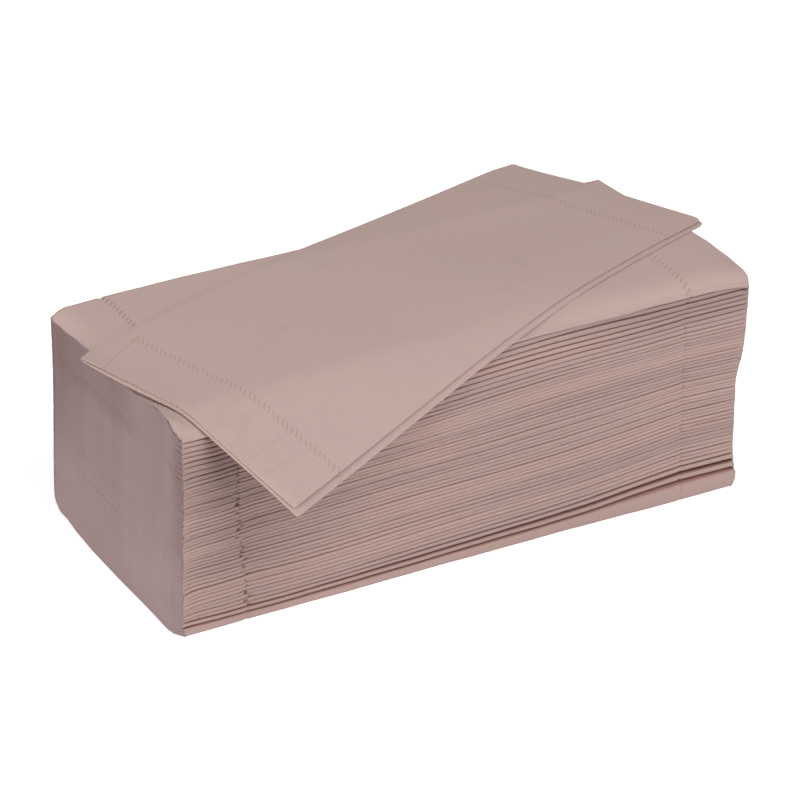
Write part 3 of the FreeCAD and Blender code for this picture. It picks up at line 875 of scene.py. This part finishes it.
def paper(name, groups, tints, bands, dashes, strength, painted_creases=False, slit=False):
    """Matt tissue paper. In Base Color: its tone, its dashes, painted shade along faint creases and the slit
    where it has them, redder painted shade deep between the folds, darker drifts of tone with painted shade
    on some of the folds, and the cut ends' painted shade, which is a pale painted glow on the loose sheet's
    edge. Its emboss and the dashes' dents in the normal."""
    warm, grey, dash_tint, end_painted_light = tints
    material = bpy.data.materials.new(name)
    material.use_nodes = True
    tree = material.node_tree
    shader = tree.nodes["Principled BSDF"]
    shader.inputs["Roughness"].default_value = 0.92
    shader.inputs["Specular IOR Level"].default_value = 0.2
    where = tree.nodes.new("ShaderNodeTexCoord")
    sheet, place = where.outputs["UV"], where.outputs["Object"]
    mask = placed_group(tree, groups["dashes"], Sheet=sheet, **dashes).outputs["Mask"]
    tint = placed_group(tree, groups["tone"], Place=place, Warm=warm, Grey=grey, Bands=bands).outputs["Color"]
    tint = mixed(tree, math_node(tree, "MULTIPLY", mask, strength), tint, dash_tint)
    if painted_creases:
        # Painted shade along faint creases.
        lines = placed_group(tree, groups["creases"], Sheet=sheet).outputs["Mask"]
        tint = mixed(tree, math_node(tree, "MULTIPLY", lines, 0.12), tint, dash_tint)
    if slit:
        # The slit's dark line is painted shadow.
        line = placed_group(tree, groups["slit"], Sheet=sheet).outputs["Mask"]
        tint = mixed(tree, math_node(tree, "MULTIPLY", line, 0.5), tint, dash_tint)
    # Painted shade: the tint is made redder and darker deep between the folds, and darker on the drifting
    # folds.
    for label, deeper in (("painted_fold_shade", PAINTED_FOLD_SHADE_TINT), ("drift_and_shade", DRIFT_AND_SHADE_TINT)):
        share = tree.nodes.new("ShaderNodeAttribute")
        share.attribute_name = label
        tint = mixed(tree, share.outputs["Fac"], tint, mixed(tree, 1.0, tint, deeper, "MULTIPLY"))
    # The cut ends' tint: painted shade between the stack's sheet edges, painted glow on the loose sheet's
    # edge.
    cut = placed_group(tree, groups["ends"], Sheet=sheet, Place=place, Tint=end_painted_light)
    tree.links.new(mixed(tree, cut.outputs["Mask"], tint, cut.outputs["Color"]), shader.inputs["Base Color"])
    height = placed_group(tree, groups["tooth"], Sheet=sheet, Place=place).outputs["Height"]
    dented = math_node(tree, "MULTIPLY_ADD", mask, -2.0, height)
    bump = tree.nodes.new("ShaderNodeBump")
    bump.inputs["Strength"].default_value = 0.5
    bump.inputs["Distance"].default_value = 0.08 * MM
    tree.links.new(dented, bump.inputs["Height"])
    tree.links.new(bump.outputs["Normal"], shader.inputs["Normal"])
    return material


def papers():
    """The same paper three times: in the stack's folds, with tints redder from painted bounce light, on top,
    and loose.
    """
    groups = {"dashes": dash_group(), "tone": tone_group(), "tooth": tooth_group(), "ends": end_group(),
              "slit": slit_shade_group(), "creases": crease_shade_group()}
    pressed_dashes = {"Slant": -0.7, "Pitch": 2.45, "Half_Length": 0.6}
    top_dashes = {"Slant": -0.7, "Pitch": 2.45, "Half_Length": 1.1, "Share": 0.17, "Right_Fade": 0.4}
    loose_dashes = {"Slant": 0.7, "Pitch": 2.05, "Half_Length": 1.15, "Share": 0.13, "Fold_Gap": 5.0}
    # The stack's folds: the same paper with redder tints of painted bounce light.
    pressed = paper("tissue_paper_folds_painted_bounce", groups, FOLD_TINTS_PAINTED_BOUNCE, 0.7, pressed_dashes, 0.3)
    top = paper("tissue_paper_top", groups, TOP_TINTS, 0.0, top_dashes, 0.7, painted_creases=True)
    loose = paper("tissue_paper_loose", groups, LOOSE_TINTS, 0.0, loose_dashes, 0.5, painted_creases=True, slit=True)
    return pressed, top, loose


# ---- floor, light and camera -------------------------------------------------------------------------

def seen_directly(tree):
    """1 for what the camera sees itself, or in a reflection or through glass, and 0 for other light."""
    rays = tree.nodes.new("ShaderNodeLightPath")
    seen = math_node(tree, "MAXIMUM", rays.outputs["Is Camera Ray"], rays.outputs["Is Glossy Ray"])
    return math_node(tree, "MAXIMUM", seen, rays.outputs["Is Transmission Ray"])


def floor():
    """A white floor: the camera sees its white, and the light on it adds the object's shadow."""
    half = 4.0
    corners = [(-half, -half, 0), (half, -half, 0), (half, half, 0), (-half, half, 0)]
    mesh = bpy.data.meshes.new("floor")
    mesh.from_pydata(corners, [], [(0, 1, 2, 3)])
    piece = bpy.data.objects.new("floor", mesh)
    bpy.context.scene.collection.objects.link(piece)
    material = bpy.data.materials.new("floor_white")
    material.use_nodes = True
    tree = material.node_tree
    shader = tree.nodes["Principled BSDF"]
    shader.inputs["Base Color"].default_value = (0.8, 0.8, 0.8, 1)
    shader.inputs["Roughness"].default_value = 0.9
    shader.inputs["Specular IOR Level"].default_value = 0.0
    glow = tree.nodes.new("ShaderNodeEmission")
    tree.links.new(math_node(tree, "MULTIPLY", seen_directly(tree), 0.62), glow.inputs["Strength"])
    both = tree.nodes.new("ShaderNodeAddShader")
    tree.links.new(shader.outputs[0], both.inputs[0])
    tree.links.new(glow.outputs[0], both.inputs[1])
    tree.links.new(both.outputs[0], tree.nodes["Material Output"].inputs["Surface"])
    mesh.materials.append(material)


def world(strength):
    """An even pale surround, seen as white."""
    surround = bpy.data.worlds.new("studio")
    bpy.context.scene.world = surround
    surround.use_nodes = True
    tree = surround.node_tree
    back = tree.nodes["Background"]
    back.inputs["Color"].default_value = (1, 1, 1, 1)
    lit = math_node(tree, "MULTIPLY_ADD", seen_directly(tree), 1 - strength, strength)
    tree.links.new(lit, back.inputs["Strength"])


def soft_lamp(name, place, power):
    """A square area lamp that faces the middle of the stack."""
    data = bpy.data.lights.new(name, "AREA")
    data.shape = "SQUARE"
    data.size = 1.3
    data.energy = power
    lamp = bpy.data.objects.new(name, data)
    place, target = Vector(place), Vector((0, 0, 0.03))
    turn = (target - place).to_track_quat("-Z", "Y").to_matrix().to_4x4()
    lamp.matrix_world = Matrix.Translation(place) @ turn
    bpy.context.scene.collection.objects.link(lamp)


def camera():
    """A long lens from above the front, left of the middle."""
    azimuth, pitch = math.radians(28.840), math.radians(27.887)
    data = bpy.data.cameras.new("camera")
    data.sensor_width = 36
    data.lens = 179.24
    data.clip_end = 20
    eye = bpy.data.objects.new("camera", data)
    ahead = (math.cos(pitch) * math.sin(azimuth), math.cos(pitch) * math.cos(azimuth), -math.sin(pitch))
    turn = Vector(ahead).to_track_quat("-Z", "Y").to_matrix().to_4x4()
    eye.matrix_world = Matrix.Translation(Vector((-0.5584, -1.0152, 0.6493))) @ turn
    bpy.context.scene.collection.objects.link(eye)
    bpy.context.scene.camera = eye


# ---- the scene ---------------------------------------------------------------------------------------

def build():
    # pressed is the stack's folds' paper, its tints redder with painted bounce light.
    pressed, top, loose = papers()
    for number in range(1, TISSUES + 1):
        stack_tissue(number, top if number == TISSUES else pressed)
    loose_tissue(loose)
    floor()
    world(0.25)
    soft_lamp("key", (0.35, -1.5, 1.95), 27)
    soft_lamp("left", (-2.0, 0.1, 0.9), 27)
    soft_lamp("low", (1.2, -1.9, 0.8), 12)
    camera()
    bpy.context.scene.view_settings.view_transform = "Standard"


build()
